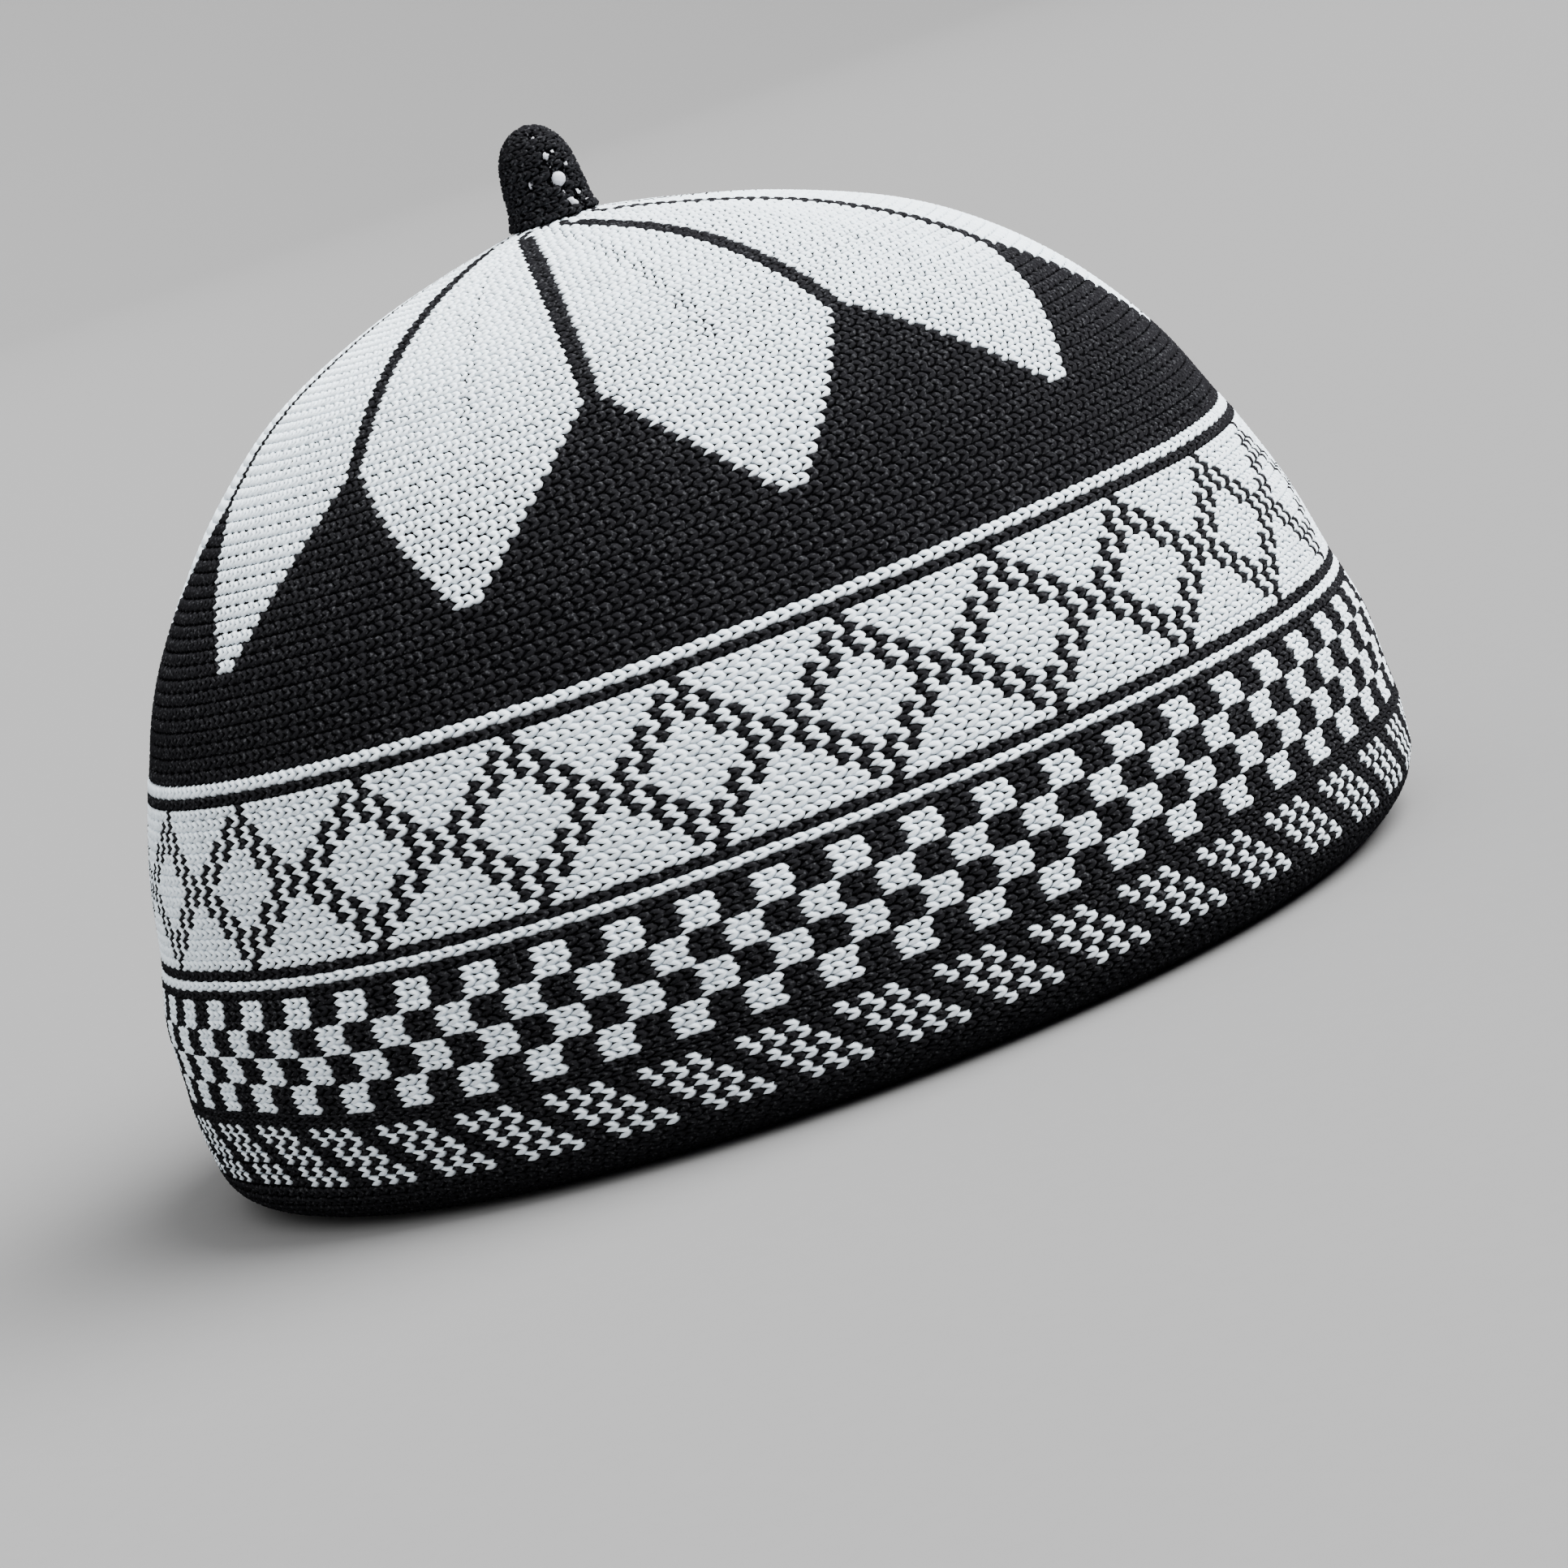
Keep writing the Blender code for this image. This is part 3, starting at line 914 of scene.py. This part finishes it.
# %% A grid turned round an axis
def turned_grid(place, rows, around, keep=None):
    """Rows of points round an axis, closed at the last row by one point, and their faces."""
    bearing = np.linspace(0, math.tau, around, endpoint=False)
    vertices = [place(bearing, np.full(around, distance)) for distance in rows[:-1]]
    vertices.append(place(np.array([0.0]), np.array([rows[-1]])))
    faces = []
    for level in range(len(rows) - 1):
        a, b = level * around, (level + 1) * around
        for k in range(around):
            n = (k + 1) % around
            face = (a + k, a + n, b) if level == len(rows) - 2 else (a + k, a + n, b + n, b + k)
            middle = (bearing[k] + math.pi / around, (rows[level] + rows[level + 1]) / 2)
            if keep is None or keep(*middle):
                faces.append(face)
    return np.vstack(vertices), faces


COVER_ROWS, COVER_AROUND = 58, 128
COVER_INSET, COVER_LUMPS, COVER_WALL = 0.35, 0.12, 0.9  # millimetres


def cover_place(bearing, distance):
    """A place on the cover, a little lumpy."""
    lumps = COVER_LUMPS * np.sin(7 * bearing + 1.3 * distance) * np.sin(1.9 * distance)
    return on_stem(bearing, distance, lumps - COVER_INSET)


def in_the_fabric(bearing, distance):
    """Whether a place lies outside all the gaps."""
    return gap_reach(np.array([bearing]), np.array([distance]))[0] >= 1


points, faces = turned_grid(cover_place, np.linspace(0, along_stem[-1], COVER_ROWS),
                            COVER_AROUND, in_the_fabric)
print("faces of the cover, without its gaps:", len(faces))

# %% Give the wall its thickness
cover = mesh_piece("stem_cover_wall", points, faces, BLACK)
wall = cover.modifiers.new("wall", "SOLIDIFY")
wall.thickness = COVER_WALL * MM
wall.offset = -1.0
graph = bpy.context.evaluated_depsgraph_get()
cover_mesh = bpy.data.meshes.new_from_object(cover.evaluated_get(graph))
cover.modifiers.clear()
cover.data = cover_mesh
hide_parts("stem_cover")
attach(cover, "root")
print("cover:", triangles(cover), "triangles")

# %% [markdown]
# ## The loops of the cover
#
# The cover is worked in finer rounds than the cap, and less evenly. The same stitch serves,
# made smaller, turned and swollen a little at random, and left out wherever a gap is. A fixed
# seed keeps this unevenness of hand work the same on every run.

# %% Set the loops of the cover
STEM_ROW, STEM_STITCH = 1.15, 1.3
STEM_OVERLAP, STEM_RELIEF, STEM_SINK = 1.05, 0.55, 0.55
CLEAR_OF_GAP = 1.4
WANDER_UP, WANDER_ROUND = 0.10, 0.02  # millimetres and radians
rng = np.random.default_rng(7)
stem_rows = []
for row in range(int(along_stem[-1] / STEM_ROW)):
    distance = STEM_ROW * (row + 0.5)
    radius = float(np.interp(distance, along_stem, stem_view[:, 1]))
    count = max(6, round(math.tau * radius / STEM_STITCH))
    bearing = (np.arange(count) + 0.25 * (row % 2) + 0.13 * row) * math.tau / count
    place = np.full(count, distance)
    wide = np.full(count, math.tau * radius / count)
    clear = gap_reach(bearing, place) > CLEAR_OF_GAP
    stem_rows.append(np.column_stack([bearing, place, wide])[clear])
bearing, distance, wide = np.vstack(stem_rows).T
distance = distance + rng.normal(0, WANDER_UP, len(distance))
bearing = bearing + rng.normal(0, WANDER_ROUND, len(bearing))
along, outward = directions(on_stem, bearing, distance, step=0.02)
size = np.column_stack([wide * STEM_OVERLAP, np.full(len(wide), STEM_ROW * STEM_OVERLAP),
                        np.full(len(wide), STEM_RELIEF)])
loops = set_stitches("stem_stitches", on_stem(bearing, distance, -STEM_SINK) * MM, along,
                     outward, size * MM, BLACK, 41, turn=0.3, swell=0.1)
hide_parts("stem_cover")
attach(loops, "root")
print("loops of the cover:", len(wide))

# %% [markdown]
# ## The filling
#
# Inside is a soft white core. It swells behind each gap, as stuffing does where nothing holds
# it back, so the white spots stand almost level with the cover. Noise gives it the look of
# loose fibre.

# %% The finish of the filling
def filling_material():
    """Soft white fibre."""
    tree = Tree("white_filling")
    place = tree.place()
    fibres = tree.noise(place, scale=1800.0, detail=4.0, roughness=0.7)
    cloud = tree.noise(place, scale=500.0)
    lit = (fibres * 0.6 + cloud * 0.5).clamp()
    tree.fill(tree.shader.inputs["Base Color"],
              tree.mix(lit, (0.42, 0.43, 0.48, 1), (0.66, 0.67, 0.72, 1)))
    tree.fill(tree.shader.inputs["Roughness"], fibres * 0.1 + 0.85)
    tree.fill(tree.shader.inputs["Normal"], tree.node(
        "ShaderNodeBump", {}, {"Strength": 0.5, "Distance": 0.0002, "Height": fibres}))
    return tree.material


FILLING = filling_material()
print("finish of the filling:", FILLING.name)

# %% The filling's body
FILLING_ROWS, FILLING_AROUND = 40, 72
FILLING_INSET, SWELL = 1.45, 1.25  # millimetres
FULL_SWELL, NO_SWELL = 0.6, 1.5  # how near a gap is, as a share of its size


def filling_place(bearing, distance):
    """A place on the filling, which swells a little behind each gap."""
    swell = SWELL * (1 - share_between(gap_reach(bearing, distance), FULL_SWELL, NO_SWELL))
    lumps = (0.10 * np.sin(5 * bearing + 2.1 * distance)
             + 0.07 * np.sin(11 * bearing - 1.7 * distance))
    return on_stem(bearing, distance, swell + lumps - FILLING_INSET)


points, faces = turned_grid(filling_place, np.linspace(0, along_stem[-1], FILLING_ROWS),
                            FILLING_AROUND)
filling = mesh_piece("stem_filling_core", points, faces, FILLING)
work = bmesh.new()
work.from_mesh(filling.data)
bmesh.ops.holes_fill(work, edges=[edge for edge in work.edges if edge.is_boundary])
bmesh.ops.recalc_face_normals(work, faces=work.faces)
work.to_mesh(filling.data)
work.free()
filling.data.shade_smooth()
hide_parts("stem_filling")
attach(filling, "root")
print("filling:", triangles(filling), "triangles")

# %% [markdown]
# ## Floor and backdrop
#
# The cap stands on a pale floor that curves up far behind it, so that no line shows. It is
# round, so that the cap can be looked at from every side.

# %% Floor and backdrop
FLOOR_REACH, BEND, BACKDROP_TOP = 7.0, 3.0, 6.0  # metres
UNDER_THE_CAP = 0.0003
SWEEP_AROUND, BEND_STEPS = 96, 14


def sweep_paper():
    """Matt grey paper, hardly mottled."""
    tree = Tree("sweep_paper")
    grain = tree.noise(tree.place(), scale=300.0)
    tree.fill(tree.shader.inputs["Base Color"],
              tree.mix(grain, (0.174, 0.174, 0.174, 1), (0.182, 0.182, 0.182, 1)))
    tree.shader.inputs["Roughness"].default_value = 1.0
    tree.shader.inputs["Specular IOR Level"].default_value = 0.0
    return tree.material


def sweep():
    """A floor that turns up into a wall all round, far from the cap."""
    profile = [(FLOOR_REACH, 0.0)]
    profile += [(FLOOR_REACH + BEND * math.sin(a), BEND - BEND * math.cos(a))
                for a in np.linspace(0.1, math.pi / 2, BEND_STEPS)]
    profile += [(FLOOR_REACH + BEND, BACKDROP_TOP)]
    count = SWEEP_AROUND
    vertices = [(0.0, 0.0, -UNDER_THE_CAP)]
    for radius, height in profile:
        for turn in np.arange(count) * math.tau / count:
            vertices.append((radius * math.sin(turn), -radius * math.cos(turn),
                             height - UNDER_THE_CAP))
    faces = [(0, 1 + k, 1 + (k + 1) % count) for k in range(count)]
    for ring in range(len(profile) - 1):
        a, b = 1 + ring * count, 1 + (ring + 1) * count
        faces += [(a + k, b + k, b + (k + 1) % count, a + (k + 1) % count)
                  for k in range(count)]
    return mesh_piece("studio_sweep", vertices, faces, sweep_paper(), measure=1.0)


sweep()
print("floor and backdrop are in place")

# %% [markdown]
# ## Lights
#
# An even white surround fills in from everywhere, as in a light tent. Two wide soft lights
# give the direction: a strong one from high on the right, which shapes the cap, and a weaker
# one from the front, which opens up the black yarn.

# %% Lights
def soft_sun(name, bearing, above, strength, spread):
    """A wide soft light from far away. Its bearing is counted as on the cap."""
    light = bpy.data.lights.new(name, "SUN")
    light.energy = strength
    light.angle = math.radians(spread)
    turned = (math.radians(90 - above), 0.0, math.radians(bearing))
    in_scene(name, light).rotation_euler = turned


world = bpy.data.worlds.new("studio")
world.use_nodes = True
surround = world.node_tree.nodes["Background"]
surround.inputs["Color"].default_value = (1, 1, 1, 1)
surround.inputs["Strength"].default_value = 1.62
bpy.context.scene.world = world
soft_sun("top_light", bearing=150, above=46, strength=15.6, spread=60)
soft_sun("front_light", bearing=80, above=24, strength=3.4, spread=70)

# %% [markdown]
# ## Camera
#
# The camera looks down on the cap by about eight degrees, from its left front. It is also
# rolled, so the cap seems to lean in the picture, though it stands level on its hem. Its
# place is in metres, before it is turned about the cap's middle.

# %% Camera
CAMERA_AT = (0.0039, -0.7802, 0.1452)
LOOK_DOWN = math.radians(8.281)
ROLL = math.radians(18.84)
FOCAL, SENSOR = 121.1, 36.0  # millimetres
FARTHEST = 20.0


def camera():
    """The camera, rolled, tipped down and turned about the cap's middle."""
    data = bpy.data.cameras.new("camera")
    data.lens = FOCAL
    data.sensor_width = SENSOR
    data.clip_end = FARTHEST
    thing = in_scene("camera", data)
    around = Matrix.Rotation(math.radians(FACING), 4, "Z")
    tipped = Matrix.Rotation(math.pi / 2 - LOOK_DOWN, 4, "X")
    rolled = Matrix.Rotation(-ROLL, 4, "Z")
    thing.matrix_world = around @ Matrix.Translation(CAMERA_AT) @ tipped @ rolled
    bpy.context.scene.camera = thing
    return thing


print("camera at", [round(v, 3) for v in camera().matrix_world.translation])
